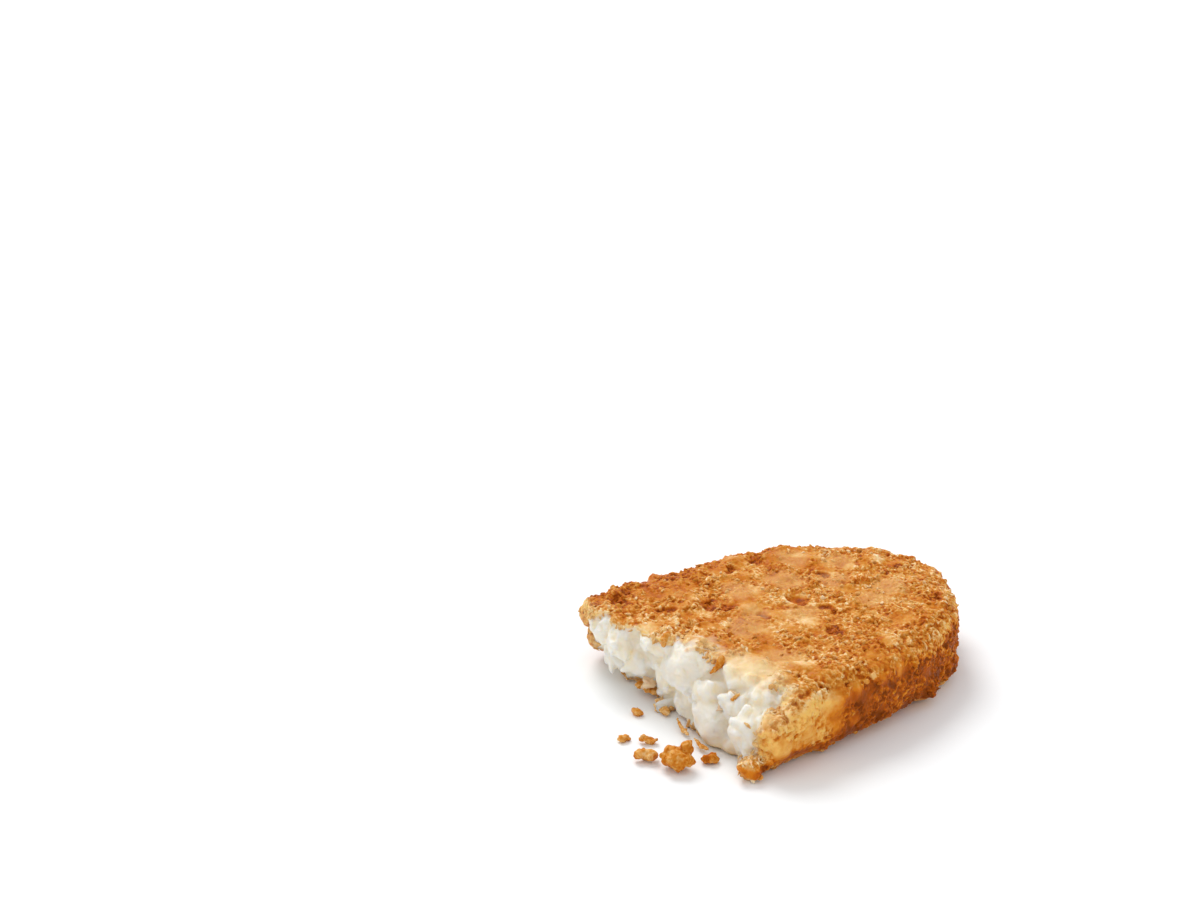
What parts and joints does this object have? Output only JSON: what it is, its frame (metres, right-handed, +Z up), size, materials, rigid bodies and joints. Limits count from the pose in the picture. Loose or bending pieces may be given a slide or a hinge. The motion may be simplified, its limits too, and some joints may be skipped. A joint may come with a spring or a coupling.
{
  "type": "hash brown",
  "caption": "Torn half of a fried hash brown patty: a golden crust of pressed potato shreds, broken open on soft white potato.",
  "frame": {"origin": "below the middle of the half patty's bounding box, on the plane that it rests on", "axes": "+Z up out of the top crust, +X along the patty from the torn face to the rounded end, +Y across it from the front edge to the back edge"},
  "size_m": [0.0752, 0.0622, 0.0163],
  "materials": {
    "fried_crust": "golden fried potato crust, crisp and slightly oily",
    "soft_potato": "moist cooked potato, soft and slightly see-through"
  },
  "bodies": {
    "root": {"hash_brown": "fried_crust"}
  },
  "joints": []
}
